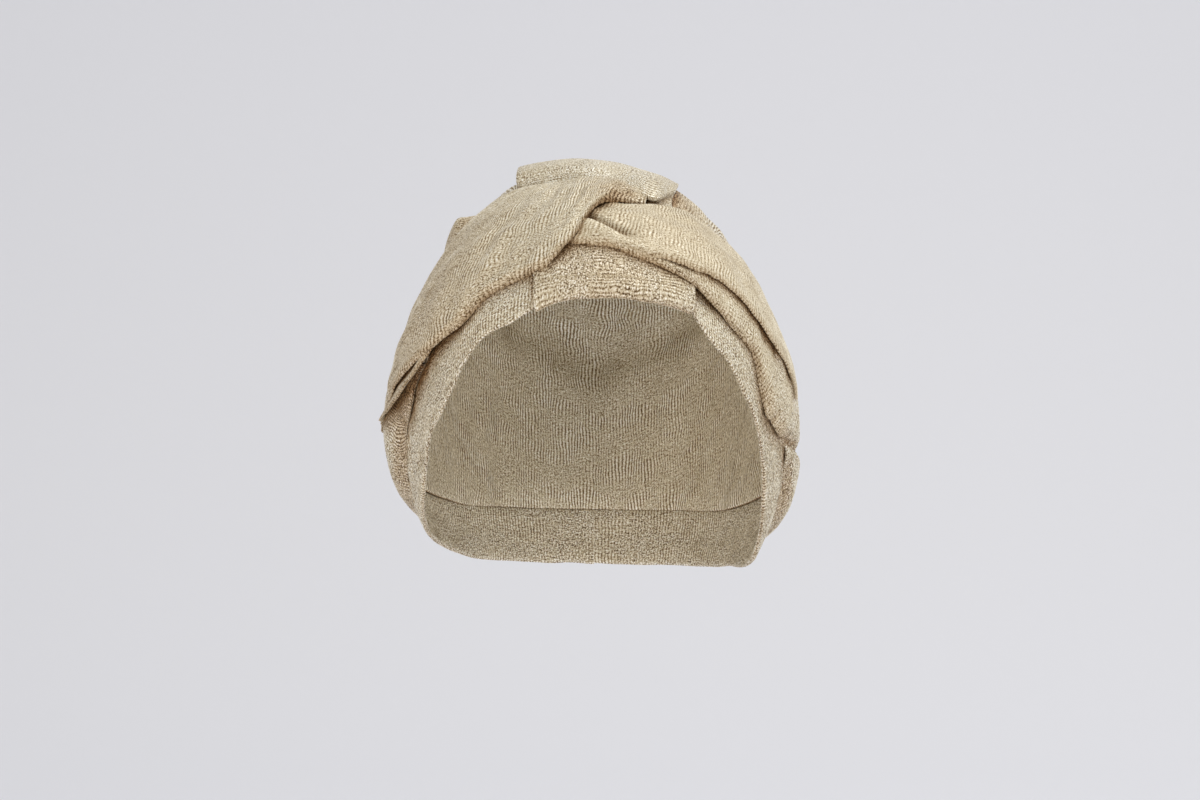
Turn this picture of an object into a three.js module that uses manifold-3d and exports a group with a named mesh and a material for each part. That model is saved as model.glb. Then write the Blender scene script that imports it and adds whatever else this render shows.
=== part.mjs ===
// Twist-front knitted head wrap, in millimetres, +Z up, the brow facing -Y.
// The origin is the seat on the crown of the head: the highest point of the head form.
//
// Every piece is a wall of knit laid over one head form. A place on the form is a direction from the
// middle of the head, given by azimuth (0 at the brow, positive to +X, 180 at the nape) and elevation,
// and the cloth stands off the form by its lift.
import * as THREE from "three";
import { LoftGeometry } from "three/addons/geometries/LoftGeometry.js";
import { mergeVertices } from "three/addons/utils/BufferGeometryUtils.js";
import Module from "manifold-3d";

const wasm = await Module();
wasm.setup();

// Driving dimensions
const headHalfWidth = 77;
const headHalfLength = 97;
const headRise = 88; // middle of the head up to its crown
const headDrop = 170; // how slowly the form narrows below its middle
const drapeThickness = 2.2; // a scarf of knit folded double
const bandThickness = 2.2; // a strip of knit folded double
const loopThickness = 1.8;
const crownThickness = 1.8; // a single knit

const degrees = Math.PI / 180;
const { lerp, smoothstep } = THREE.MathUtils;

// Head form

function direction(azimuth, elevation) {
  const level = Math.cos(elevation * degrees);
  return new THREE.Vector3(
    level * Math.sin(azimuth * degrees),
    -level * Math.cos(azimuth * degrees),
    Math.sin(elevation * degrees),
  );
}

// The point that stands lift millimetres off the form in a given direction.
function onForm(way, lift) {
  const unit = way.clone().normalize();
  const height = unit.z > 0 ? headRise : headDrop;
  return new THREE.Vector3(
    (headHalfWidth + lift) * unit.x,
    (headHalfLength + lift) * unit.y,
    (height + lift) * unit.z - headRise,
  );
}

// Tables and curves through them

// Rows of numbers under named columns.
function table(columns, rows) {
  const names = columns.split(" ");
  return rows.map((row) => Object.fromEntries(names.map((name, i) => [name, row[i]])));
}

// A smooth curve through one column of evenly spaced rows.
function columnCurve(rows, column) {
  const curve = new THREE.SplineCurve(rows.map((row, i) => new THREE.Vector2(i, row[column])));
  return (along) => curve.getPoint(along).y;
}

// A smooth curve of directions through an azimuth column and an elevation column.
function edgeCurve(rows, azimuth, elevation, closed = false) {
  const ways = rows.map((row) => direction(row[azimuth], row[elevation]));
  const curve = new THREE.CatmullRomCurve3(ways, closed);
  return (along) => curve.getPoint(along);
}

// The value of a column where another, rising one has the value at.
function lookUp(rows, key, column, at) {
  const next = Math.max(1, rows.findIndex((row) => row[key] >= at));
  const [a, b] = [rows[next - 1], rows[next]];
  return lerp(a[column], b[column], (at - a[key]) / (b[key] - a[key]));
}

// The value at v, from 0 to 1, of the parabola through low at 0, middle at a half and high at 1.
function parabola(low, middle, high, v) {
  return low * (1 - v) * (1 - 2 * v) + 4 * middle * v * (1 - v) + high * v * (2 * v - 1);
}

// Cloth surfaces: a function of along and v, each from 0 to 1, that gives the way and the lift of the
// middle of the cloth, with v = 0 at its low edge and v = 1 at its upper edge

function panelSurface({ rows, ring }) {
  const lowEdge = edgeCurve(rows, "lowAz", "lowEl", ring);
  const upEdge = edgeCurve(rows, "upAz", "upEl", ring);
  const lastRow = ring ? [...rows, rows[0]] : rows;
  const [lowLift, midLift, upLift] = ["lowLift", "midLift", "upLift"].map((column) =>
    columnCurve(lastRow, column),
  );
  return (along, v) => ({
    way: lowEdge(along).lerp(upEdge(along), v),
    lift: parabola(lowLift(along), midLift(along), upLift(along), v),
  });
}

// A pleat hangs out from under the low edge of a panel. Its root lies inside the panel's wall, at
// rootAt of the panel's width, and each row's at is a row of the panel.
function pleatSurface(panel, { rows, rootAt, rootSink }) {
  const host = panelSurface(panel);
  const lowEdge = edgeCurve(rows, "lowAz", "lowEl");
  const [at, lowLift, midLift] = ["at", "lowLift", "midLift"].map((column) => columnCurve(rows, column));
  return (along, v) => {
    const root = host(at(along) / (panel.rows.length - 1), rootAt);
    return {
      way: lowEdge(along).lerp(root.way, v),
      lift: parabola(lowLift(along), midLift(along), root.lift - rootSink, v),
    };
  };
}

// Walls

// One closed section of a wall: along the underside of the cloth and back along its top, with the two
// edges rounded.
function wallSection(surface, along, strips, thickness) {
  const half = thickness / 2;
  const at = (v, side) => {
    const { way, lift } = surface(along, v);
    return onForm(way, lift + side * half);
  };
  const edge = (v, inset) => {
    const rim = at(v, 0);
    return rim.clone().add(rim.sub(at(inset, 0)).setLength(half));
  };
  const points = [edge(0, 0.02)];
  for (let i = 0; i <= strips; i++) points.push(at(i / strips, -1));
  points.push(edge(1, 0.98));
  for (let i = strips; i >= 0; i--) points.push(at(i / strips, 1));
  return points;
}

function wall(surface, { steps, strips, thickness, ring = false }) {
  const sections = [];
  for (let i = 0; i <= steps; i++) sections.push(wallSection(surface, i / steps, strips, thickness));
  if (ring) sections[steps] = sections[0];
  return new LoftGeometry(sections, { capStart: !ring, capEnd: !ring });
}

// Joins

function solidOf(geometry) {
  const bare = new THREE.BufferGeometry().copy(geometry);
  bare.deleteAttribute("normal");
  bare.deleteAttribute("uv");
  const { attributes, index } = mergeVertices(bare, 1e-3);
  const triVerts = [];
  for (let i = 0; i < index.count; i += 3) {
    const corners = [0, 1, 2].map((corner) => index.getX(i + corner));
    if (new Set(corners).size === 3) triVerts.push(...corners); // those at a pole have shrunk to a line
  }
  return new wasm.Manifold(
    new wasm.Mesh({
      numProp: 3,
      vertProperties: attributes.position.array,
      triVerts: new Uint32Array(triVerts),
    }),
  );
}

// The walls joined into one body, with any pocket that they seal between them filled.
function joined(geometries) {
  const whole = geometries.map(solidOf).reduce((body, next) => body.add(next));
  const [outside] = whole.decompose().sort((a, b) => b.volume() - a.volume());
  const mesh = outside.getMesh();
  const geometry = new THREE.BufferGeometry();
  geometry.setAttribute("position", new THREE.BufferAttribute(mesh.vertProperties, 3));
  geometry.setIndex(new THREE.BufferAttribute(mesh.triVerts, 1));
  geometry.computeVertexNormals();
  return geometry;
}

// Brow band: a folded strip right round the head, a row for each place round it from the nape

const band = {
  steps: 66,
  strips: 2,
  thickness: bandThickness,
  ring: true,
  rows: table("lowAz lowEl upAz upEl lowLift midLift upLift", [
    [-180, -28.5, -180, -20, 1.9, 1.9, 1.9],
    [-150, -28, -150, -19.5, 1.9, 1.9, 1.9],
    [-120, -25.8, -120, -18, 1.9, 2.4, 2.6],
    [-92, -21.2, -92, -12.5, 2, 5.2, 7.4],
    [-73, -15, -75, -3.5, 2, 3.7, 4.7],
    [-61, -6.8, -62, 6, 2, 2.5, 2.8],
    [-47, 0.4, -49, 16.4, 2.4, 2.5, 2.6],
    [-41, 7.8, -43, 20.5, 2.6, 2.6, 2.6],
    [-35, 13.2, -36.5, 25.5, 3, 3, 3],
    [-26, 16.6, -27, 30, 3.4, 3.4, 3.4],
    [-17, 21.4, -18, 34.5, 3.6, 3.6, 3.6],
    [-7, 25.6, -7, 38.5, 3.6, 3.6, 3.6],
    [7, 26, 7, 39, 3.6, 3.6, 3.6],
    [20, 25, 20, 37.5, 3.6, 3.6, 3.6],
    [30.5, 22.2, 31, 33.5, 3.6, 3.6, 3.6],
    [36.5, 14, 38, 28.5, 3.2, 3.2, 3.2],
    [45.5, 6.6, 47.5, 21, 2.6, 2.7, 2.8],
    [52, -0.2, 54, 14.5, 2.4, 2.8, 3],
    [64, -6.5, 65, 5.5, 2, 3.4, 4.2],
    [76, -16, 77, -5, 2, 5.2, 7.4],
    [92, -25.5, 92, -13, 2, 5.8, 8.6],
    [120, -28, 120, -19, 1.9, 2.6, 3],
    [150, -28.5, 150, -20, 1.9, 1.9, 1.9],
  ]),
};

// Over drape: from the nape round the -X side, across the brow on top and tucked in past the middle

const overPanel = {
  steps: 34,
  strips: 9,
  thickness: drapeThickness,
  rows: table("lowAz lowEl upAz upEl lowLift midLift upLift", [
    [-179.8, -20, -179.8, -6, 4.8, 7, 4.8],
    [-150, -18, -150, 6, 6, 9, 5.8],
    [-120, -11, -125, 30, 9, 8.6, 7.4],
    [-95, -3.2, -100, 51, 12.2, 6.2, 6.6],
    [-76, -0.4, -77, 62, 12.2, 5.8, 5.8],
    [-56, 8, -61, 64.5, 9.2, 7.2, 5.8],
    [-44, 15.4, -48, 65, 7.5, 8, 6],
    [-35, 23.6, -38, 65.5, 7, 8, 6],
    [-26, 27.4, -28, 66, 7.2, 8.5, 6],
    [-18, 29.6, -18, 66.7, 9.4, 9.8, 6.5],
    [-12, 33, -8, 67.5, 11.5, 11.5, 6.8],
    [-6, 39, 2, 67.5, 12.2, 12.2, 7.2],
    [-1, 46.5, 11, 67, 12.4, 11.6, 7.5],
    [5, 51.5, 19, 65, 11.4, 10.8, 7.2],
    [14, 53.8, 25, 62, 9, 8.8, 6.5],
    [23, 54.6, 29.5, 59.5, 8, 7.6, 6.6],
  ]),
};
const overPleat = {
  steps: 18,
  strips: 5,
  thickness: drapeThickness,
  rootAt: 0.12,
  rootSink: 1.5,
  rows: table("at lowAz lowEl lowLift midLift", [
    [1.2, -144, -19.5, 6, 6.5],
    [2, -119, -14.5, 11, 8.5],
    [3, -96, -7, 15.4, 9],
    [3.5, -85, -4.6, 16, 8.2],
    [4, -76, -3.2, 14.4, 7.8],
    [4.5, -65, 0, 11.6, 7],
    [5, -57, 6.8, 8.2, 7],
    [5.6, -50, 14.5, 6.2, 6],
  ]),
};
const overTail = {
  steps: 18,
  strips: 5,
  thickness: drapeThickness,
  rootAt: 0.06,
  rootSink: 0.9,
  rows: table("at lowAz lowEl lowLift midLift", [
    [0, -179.8, -26, 4.8, 5.4],
    [1, -150, -25.5, 5, 6.5],
    [2, -122, -23.5, 5, 7.4],
    [2.7, -104, -21.6, 7.2, 12.4],
    [3.4, -88, -15, 9.8, 14.2],
    [4, -76.5, -6.4, 7.6, 9],
    [4.3, -70.5, -3.2, 6.6, 7.6],
    [4.6, -66, 0.8, 5.7, 6.6],
    [5, -61, 6, 5.2, 5.6],
  ]),
};

// Under drape: from beneath the over drape at the brow, round the +X side to the nape

const underPanel = {
  steps: 34,
  strips: 9,
  thickness: drapeThickness,
  rows: table("lowAz lowEl upAz upEl lowLift midLift upLift", [
    [-14, 37.5, -8, 51.5, 8.6, 8, 6.6],
    [-4, 37.6, 4, 53, 9, 8.8, 6.8],
    [7, 36.2, 16, 52.4, 9.4, 8.8, 6.8],
    [17, 33.4, 28, 52.4, 10.6, 9, 7],
    [28.5, 30.6, 41, 51.8, 11, 9.2, 6.8],
    [38.5, 27.8, 53, 49.4, 10.6, 9, 6],
    [48, 23.6, 64, 46, 10.2, 7.4, 4.6],
    [55, 17, 75, 43.5, 10.4, 6, 4],
    [63, 10, 86, 38.5, 11, 5.6, 3.8],
    [72, 3.2, 97, 33, 12, 6, 4],
    [84, -3.6, 110, 24, 12.2, 7.4, 4.4],
    [104, -10, 128, 14, 10, 9.6, 4.8],
    [130, -16, 148, 4, 7.5, 9.5, 5],
    [155, -19, 165, -3, 5.6, 8.5, 5],
    [179.8, -20, 179.8, -6, 4.8, 7, 4.8],
  ]),
};
const underPleat = {
  steps: 20,
  strips: 5,
  thickness: drapeThickness,
  rootAt: 0.18,
  rootSink: 0.9,
  rows: table("at lowAz lowEl lowLift midLift", [
    [2.2, 9.5, 35.4, 8.8, 8.8],
    [3, 18, 32.4, 8.6, 8.6],
    [3.6, 25, 29.8, 9.1, 8.8],
    [4.4, 32, 26.4, 9.2, 8.8],
    [5, 37.5, 23, 8, 8],
    [6, 46.5, 16.2, 7, 7.4],
    [7, 55, 9.2, 7.4, 7.4],
    [7.5, 58.5, 2, 7.9, 7.7],
    [8, 62, -2.5, 8.8, 8.4],
    [8.5, 66.5, -5, 10.4, 9.4],
    [9, 72, -6.6, 11.8, 10],
    [10, 87, -7.2, 12.4, 10],
    [11, 106, -13, 10.5, 8.8],
    [12.4, 140, -20.5, 6, 6.8],
  ]),
};
const underTail = {
  steps: 16,
  strips: 5,
  thickness: drapeThickness,
  rootAt: 0.08,
  rootSink: 0.9,
  rows: table("at lowAz lowEl lowLift midLift", [
    [8, 63.5, 0.5, 6.6, 7.4],
    [9, 75.5, -6, 9.7, 10.4],
    [9.6, 83, -12, 10, 12],
    [10.2, 92, -20.4, 10.4, 14],
    [11, 108, -25, 8.8, 12.6],
    [12, 130, -25.8, 5.6, 8],
    [13, 156, -26, 5.2, 6.2],
    [14, 179.8, -26, 5, 5.4],
  ]),
};

// Crown: a bowl of single knit from the band's upper edge to the top, low where the drapes lie on it
// and puffed out where it shows

const crownSides = 48;
const crownRings = 14; // from its rim to the top
const rimGap = 2; // from the fold line of the band's upper edge
const crownLiftUnder = 1.4;
const flareFrom = 3.6; // the rim stands out with the band where the band's lift is more than this
const flareEnd = 0.2; // as a share of the way to the top
const puffStart = 5; // degrees above the drapes' upper edge
const puffFull = 14;
const topPuff = 6; // where the crown's puffs meet
const topBlend = { from: 57, to: 82 };
const crownPuff = table("azimuth edge puff", [
  [-180, -6, 5],
  [-150, 6, 6],
  [-125, 30, 9],
  [-100, 51, 10.5],
  [-77, 62, 8],
  [-55, 66, 5],
  [0, 69, 5.4],
  [25, 68, 4.6],
  [40, 58, 4.8],
  [52, 50, 4.8],
  [64, 46, 4.2],
  [86, 38.5, 3.6],
  [110, 24, 4.4],
  [128, 14, 5],
  [148, 4, 5.5],
  [180, -6, 5],
]);
const gathers = { count: 8, depth: 0.9, from: 100, full: 140, fadeAt: 20, goneAt: 50 };

function crownLift(way) {
  const azimuth = Math.atan2(way.x, -way.y) / degrees;
  const elevation = Math.asin(way.z / way.length()) / degrees;
  const edge = lookUp(crownPuff, "azimuth", "edge", azimuth);
  const shown = smoothstep(elevation, edge + puffStart, edge + puffFull);
  const back = smoothstep(Math.abs(azimuth), gathers.from, gathers.full);
  const low = 1 - smoothstep(elevation, gathers.fadeAt, gathers.goneAt);
  const fold = gathers.depth * Math.cos(gathers.count * azimuth * degrees) * back * low;
  const nearTop = smoothstep(elevation, topBlend.from, topBlend.to);
  const puff = lerp(lookUp(crownPuff, "azimuth", "puff", azimuth), topPuff, nearTop);
  return crownLiftUnder + shown * (puff + fold);
}

function crownShell() {
  const rim = edgeCurve(band.rows, "upAz", "upEl", true);
  const bandLift = columnCurve([...band.rows, band.rows[0]], "upLift");
  const top = new THREE.Vector3(0, 0, 1);
  const ringAt = (share, side) => {
    const ring = [];
    for (let i = 0; i < crownSides; i++) {
      const fold = rim(i / crownSides);
      const hundredth = onForm(fold, 0).distanceTo(onForm(fold.clone().lerp(top, 0.01), 0));
      const start = (0.01 * rimGap) / hundredth;
      const way = fold.lerp(top, lerp(start, 1, share));
      const flare = Math.max(0, bandLift(i / crownSides) - flareFrom) * (1 - smoothstep(share, 0, flareEnd));
      ring.push(onForm(way, crownLift(way) + flare + (side * crownThickness) / 2));
    }
    return ring;
  };
  const shares = Array.from({ length: crownRings + 1 }, (_, i) => i / crownRings);
  const inside = shares.map((share) => ringAt(share, -1)).reverse();
  const outside = shares.map((share) => ringAt(share, 1));
  return new LoftGeometry([...inside, ...outside]);
}

// Centre loop: a strap that holds the band from behind, turns under its lower edge, runs up the brow
// beneath both drapes and stands up as a soft roll over the top. Its rows follow it from the hidden end;
// pitch is the angle from the middle of the head, 0 level at the brow and 90 straight up, skew turns the
// strap so that its -X side comes later, and drop lowers its two corners.

const loop = {
  steps: 36,
  strips: 6,
  rightDrop: 0.4, // the +X corner's share of the drop
  rows: table("pitch skew drop shift halfWidth leftLift midLift rightLift", [
    [36, 0, 0, 8, 30, 1, 1, 1],
    [29, 0, 0.8, 8.5, 31, 1, 1, 1],
    [25, 0, 2.2, 9, 31, 1.1, 1.1, 1.1],
    [23.4, 0, 3, 9, 31, 3.6, 3.6, 3.6],
    [25, 0, 2.2, 9, 31, 6.1, 6.1, 6.1],
    [29, 0, 0.8, 9, 31, 6.2, 6.2, 6.2],
    [39.5, 0, 0, 8.5, 31, 6.2, 6.2, 6.2],
    [46, 0, 0, 7, 30, 4.4, 4.4, 4.4],
    [53, 2, 0, 6, 29, 3.8, 3.8, 3.8],
    [60, 5, 0, 5, 28, 3.8, 3.8, 3.8],
    [67, 7, 0, 4, 28, 4, 4, 4],
    [71.5, 7, 0, 3, 29, 7.5, 7, 7],
    [76, 6, 0, 3, 30, 12, 9.6, 9.2],
    [84, 4, 0, 3, 30.5, 14, 10.2, 9.2],
    [94, 2, 0, 3, 30, 13.5, 10.2, 9.2],
    [106, 0, 0, 3, 30, 12, 10, 10],
    [119, 0, 0, 3, 29, 10.4, 9.8, 9.6],
    [132, 0, 0, 3, 28, 9.6, 9.6, 9.4],
  ]),
};

function loopStrap({ rows, steps, strips, rightDrop }) {
  const curves = Object.keys(rows[0]).map((name) => columnCurve(rows, name));
  const half = loopThickness / 2;
  const place = (along, across) => {
    const [pitch, skew, drop, shift, halfWidth, left, middle, right] = curves.map((at) => at(along));
    const side = 2 * across - 1;
    const turn = (shift + side * halfWidth) / headHalfWidth;
    const corner = side ** 4 * (side > 0 ? rightDrop : 1);
    const rise = (pitch - skew * side - drop * corner) * degrees;
    const way = new THREE.Vector3(
      Math.sin(turn),
      -Math.cos(turn) * Math.cos(rise),
      Math.cos(turn) * Math.sin(rise),
    );
    return onForm(way, parabola(left, middle, right, across));
  };
  const sectionAt = (across, share) => {
    const out = [];
    const back = [];
    for (let i = 0; i <= steps; i++) {
      const along = i / steps;
      const here = place(along, across);
      const step = 0.2 / steps;
      const forward = place(Math.min(1, along + step), across).sub(place(Math.max(0, along - step), across));
      const sideways = place(along, across + 0.01).sub(place(along, across - 0.01));
      const normal = sideways.cross(forward).setLength(half * share);
      out.push(here.clone().add(normal));
      back.push(here.sub(normal));
    }
    return [...back, ...out.reverse()];
  };
  const sections = [sectionAt(0, 0.4)];
  for (let i = 0; i <= strips; i++) sections.push(sectionAt(lerp(0.012, 0.988, i / strips), 1));
  sections.push(sectionAt(1, 0.4));
  return new LoftGeometry(sections, { capStart: true, capEnd: true });
}

// Pieces

function drape(panel, pleats) {
  const panelWall = wall(panelSurface(panel), panel);
  return joined([panelWall, ...pleats.map((pleat) => wall(pleatSurface(panel, pleat), pleat))]);
}

const pieces = [
  { name: "crown", geometry: joined([crownShell()]), color: 0xbfae8b },
  { name: "brow_band", geometry: joined([wall(panelSurface(band), band)]), color: 0xb3a27f },
  { name: "centre_loop", geometry: joined([loopStrap(loop)]), color: 0xbeb291 },
  { name: "over_drape", geometry: drape(overPanel, [overPleat, overTail]), color: 0xb5a587 },
  { name: "under_drape", geometry: drape(underPanel, [underPleat, underTail]), color: 0xd0c3a4 },
];

const wrap = new THREE.Group();
for (const { name, geometry, color } of pieces) {
  const material = new THREE.MeshStandardMaterial({ color, roughness: 0.6, metalness: 0.15 });
  const mesh = new THREE.Mesh(geometry, material);
  mesh.name = name;
  wrap.add(mesh);
}

export default wrap;
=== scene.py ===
import math
import bpy
import numpy as np
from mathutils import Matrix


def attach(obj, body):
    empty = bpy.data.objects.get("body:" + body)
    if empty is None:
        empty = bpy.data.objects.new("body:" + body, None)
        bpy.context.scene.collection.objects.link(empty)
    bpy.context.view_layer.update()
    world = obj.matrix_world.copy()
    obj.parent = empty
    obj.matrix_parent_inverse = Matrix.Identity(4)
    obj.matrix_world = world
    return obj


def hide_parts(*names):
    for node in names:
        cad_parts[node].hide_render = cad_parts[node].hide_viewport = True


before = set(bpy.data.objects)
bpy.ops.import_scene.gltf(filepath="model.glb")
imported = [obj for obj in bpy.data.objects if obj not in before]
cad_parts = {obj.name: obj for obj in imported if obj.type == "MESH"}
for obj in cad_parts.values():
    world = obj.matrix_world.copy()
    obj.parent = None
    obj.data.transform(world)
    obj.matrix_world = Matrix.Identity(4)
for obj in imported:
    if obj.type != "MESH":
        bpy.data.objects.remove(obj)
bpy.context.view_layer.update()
scene = bpy.context.scene
scene.view_settings.view_transform = "Standard"
mm = 0.001
print("frame in:", ", ".join(sorted(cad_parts)))

# the knit that every piece is made of, in mm
knit = {
    "ribPitch": 1.6,
    "columnsPerRib": 4,
    "stitchLength": 0.86,
    "ribHeight": 0.08,
    "ribUnevenness": 0.6,
    "patchSize": 9.0,
    "seed": 11,
}

# the form that the knit lies on, mm: azimuth 0 is the brow, positive to +X, 180 the nape
innerForm = {"halfWidth": 77, "halfLength": 97, "rise": 88, "drop": 170, "meanRadius": 92}
halfWidth, halfLength, rise, drop, meanRadius = innerForm.values()


def wayOf(azimuth, elevation):
    a, e = np.radians(azimuth), np.radians(elevation)
    return np.stack([np.cos(e) * np.sin(a), -np.cos(e) * np.cos(a), np.sin(e)], -1)


def unitOf(vectors):
    return vectors / np.maximum(np.linalg.norm(vectors, axis=-1, keepdims=True), 1e-9)


def anglesOf(way):  # azimuth and elevation, degrees
    x, y, z = np.moveaxis(unitOf(way), -1, 0)
    return np.degrees(np.arctan2(x, -y)), np.degrees(np.arcsin(np.clip(z, -1, 1)))


def onForm(way, lift):
    unit = unitOf(way)
    height = np.where(unit[..., 2] > 0, rise, drop)
    return np.stack([
        (halfWidth + lift) * unit[..., 0],
        (halfLength + lift) * unit[..., 1],
        (height + lift) * unit[..., 2] - rise,
    ], -1)


def smoothstep(x, low, high):
    t = np.clip((x - low) / (high - low), 0, 1)
    return t * t * (3 - 2 * t)


def columnsOf(names, rows):
    return dict(zip(names.split(), np.array(rows, float).T))


def cubic(p1, p2, leave, arrive, t):
    square = 3 * (p2 - p1) - 2 * leave - arrive
    cube = 2 * (p1 - p2) + leave + arrive
    return p1 + t * (leave + t * (square + t * cube))


# a curve through directions, evenly shared between them
def smoothThrough(points, along, closed=False):
    if closed:
        spans = len(points)
        held = np.concatenate([points[-1:], points, points[:2]])
    else:
        spans = len(points) - 1
        held = np.concatenate([2 * points[:1] - points[1:2], points, 2 * points[-1:] - points[-2:-1]])
    at = (along % 1 if closed else np.clip(along, 0, 1)) * spans
    cell = np.minimum(at.astype(int), spans - 1)
    t = (at - cell)[..., None]
    p0, p1, p2, p3 = (held[cell + k] for k in range(4))
    gap0, gap1, gap2 = (
        np.maximum(((b - a) ** 2).sum(-1, keepdims=True) ** 0.25, 1e-4)
        for a, b in ((p0, p1), (p1, p2), (p2, p3))
    )
    leave = ((p1 - p0) / gap0 - (p2 - p0) / (gap0 + gap1) + (p2 - p1) / gap1) * gap1
    arrive = ((p2 - p1) / gap1 - (p3 - p1) / (gap1 + gap2) + (p3 - p2) / gap2) * gap1
    return cubic(p1, p2, leave, arrive, t)


# a curve through one column of a table
def columnAt(values, along):
    spans = len(values) - 1
    held = np.concatenate([values[:1], values, values[-1:]])
    at = np.clip(along, 0, 1) * spans
    cell = np.minimum(at.astype(int), spans - 1)
    p0, p1, p2, p3 = (held[cell + k] for k in range(4))
    return cubic(p1, p2, (p2 - p0) / 2, (p3 - p1) / 2, at - cell)


def parabola(low, middle, high, v):
    return low * (1 - v) * (1 - 2 * v) + 4 * middle * v * (1 - v) + high * v * (2 * v - 1)


# soft uneven waves, from -1 to 1, of two measures in mm
def waves(x, y, length, seed, count=7, spread=(0.7, 1.6)):
    rng = np.random.default_rng(seed)
    total = np.zeros(np.broadcast(x, y).shape)
    for k in range(count):
        turn, phase = rng.uniform(0, math.tau, 2)
        step = math.tau / (length * rng.uniform(*spread))
        total = total + np.sin((x * math.cos(turn) + y * math.sin(turn)) * step + phase)
    return total / math.sqrt(count * 2)


foldRest = {"lift": 6.0, "steps": 25}  # where folds are measured


# a fold: mm wide and high, along a path of azimuth and elevation
def fold(width, height, *path, fadeIn=0.25, fadeOut=0.25):
    path = np.array(path, float)
    return {"path": path, "width": width, "height": height, "fadeIn": fadeIn, "fadeOut": fadeOut}


def foldHeight(folds, way):
    place = onForm(way, foldRest["lift"])
    total = np.zeros(way.shape[:-1])
    for each in folds:
        spread = smoothThrough(wayOf(*each["path"].T), np.linspace(0, 1, foldRest["steps"]))
        line = onForm(spread, foldRest["lift"])
        best = np.full(total.shape, 1e9)
        where = np.zeros(total.shape)
        for k in range(len(line) - 1):
            step = line[k + 1] - line[k]
            share = np.clip(((place - line[k]) @ step) / (step @ step), 0, 1)
            far = np.linalg.norm(place - line[k] - share[..., None] * step, axis=-1)
            nearer = far < best
            best = np.where(nearer, far, best)
            where = np.where(nearer, (k + share) / (len(line) - 1), where)
        ends = smoothstep(where, 0, each["fadeIn"]) * (1 - smoothstep(where, 1 - each["fadeOut"], 1))
        total = total + each["height"] * np.exp(-((best / each["width"]) ** 2)) * ends
    return total


# cloth surfaces give a direction and a lift for each place along and across them
def panelOf(rows, ring=False):
    low, up = wayOf(rows["lowAz"], rows["lowEl"]), wayOf(rows["upAz"], rows["upEl"])
    lifts = [rows[k] for k in ("lowLift", "midLift", "upLift")]
    if ring:
        lifts = [np.append(c, c[0]) for c in lifts]

    def surface(along, v):
        a, b = smoothThrough(low, along, ring), smoothThrough(up, along, ring)
        return a + (b - a) * v[..., None], parabola(*(columnAt(c, along) for c in lifts), v)

    return surface


def pleatOf(host, hostRows, rows, rootAt, rootSink):
    low = wayOf(rows["lowAz"], rows["lowEl"])

    def surface(along, v):
        at = columnAt(rows["at"], along) / (len(hostRows["lowAz"]) - 1)
        rootWay, rootLift = host(at, np.full(at.shape, rootAt))
        a = smoothThrough(low, along)
        lowLift, midLift = (columnAt(rows[k], along) for k in ("lowLift", "midLift"))
        return a + (rootWay - a) * v[..., None], parabola(lowLift, midLift, rootLift - rootSink, v)

    return surface


# how the knit lies when worn: lengths in mm, the rest are shares
lay = {
    "edgeWave": 22, "edgeRipple": 9, "rippleShare": 0.5, "upEdgeShare": 0.5,
    "calmEdge": 8, "bulge": 24, "bulgeStretch": 0.6, "crease": 13, "creaseStretch": 0.25,
    "rimReach": 2.5, "rimThin": 0.5, "turnGap": 0.2, "turnPower": 2.5,
    "flushReach": 5, "flushShare": 0.95, "flushThin": 0.85, "flushLow": 0.1, "flushUp": 0.5,
    "sinkFrom": 0.93,
}


# a cloth's middle and half its thickness: edges turned in, folds, a little unevenness
def wallOf(surface, strip):
    half, width, seed = strip["thickness"] / 2, strip["widthMm"], strip["seed"]

    def place(along, v):
        run = along * strip["lengthMm"]
        ripple = lay["rippleShare"] * waves(run, 0 * v, lay["edgeRipple"], seed + 4)
        scallop = strip["edgeWave"] * (waves(run, 0 * v, lay["edgeWave"], seed) + ripple)
        way, lift = surface(along, v + scallop / width * ((1 - v) ** 3 - lay["upEdgeShare"] * v ** 3))
        lowFar, upFar = v * width, (1 - v) * width
        calm = smoothstep(np.minimum(lowFar, upFar), 0, lay["calmEdge"])
        bulge = strip["unevenness"] * waves(run, v * width * lay["bulgeStretch"], lay["bulge"], seed + 1)
        crease = strip["creases"] * waves(run * lay["creaseStretch"], v * width, lay["crease"], seed + 5)
        middle = lift + foldHeight(strip.get("folds", []), way) + calm * (bulge + crease)
        thick = half + 0 * along
        if "turnIn" in strip:
            turn = strip["turnIn"]
            depth = np.interp(along, turn["at"], turn["depth"])
            thick = thick * (1 - lay["rimThin"] * np.clip(1 - lowFar / lay["rimReach"], 0, 1))
            room = np.clip(middle - thick - restTop(way) - lay["turnGap"], 0, depth)
            middle = middle - room * np.clip(1 - lowFar / turn["reach"], 0, 1) ** lay["turnPower"]
        for edge, start, full in strip.get("thinned", []):
            far = lowFar if edge == "low" else upFar
            thin = smoothstep(along, start, full) * np.exp(-((far / lay["flushReach"]) ** 2))
            onto = restTop(way) + lay["flushLow"] if edge == "low" else middle - half - lay["flushUp"]
            middle = middle + (onto - middle) * lay["flushShare"] * thin
            thick = thick * (1 - lay["flushThin"] * thin)
        if "endSink" in strip:
            middle = middle - strip["endSink"] * smoothstep(along, lay["sinkFrom"], 1)
        return onForm(way, middle), (onForm(way, middle + thick) - onForm(way, middle - thick)) / 2

    return place


# how a sheet is laid out
layout = {
    "steps": 401, "measuredAt": (0.15, 0.5, 0.85), "wobble": 16, "wobbleStretch": 1.5,
    # the last power here sets how fast the painted shade fades away from a turned-under edge
    "calmEnds": 0.03, "leanEnds": 0.25, "rimParts": 4, "rimStep": 0.015, "edgeShadePower": 1.5,
    "ribsApart": 400,
}


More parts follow.
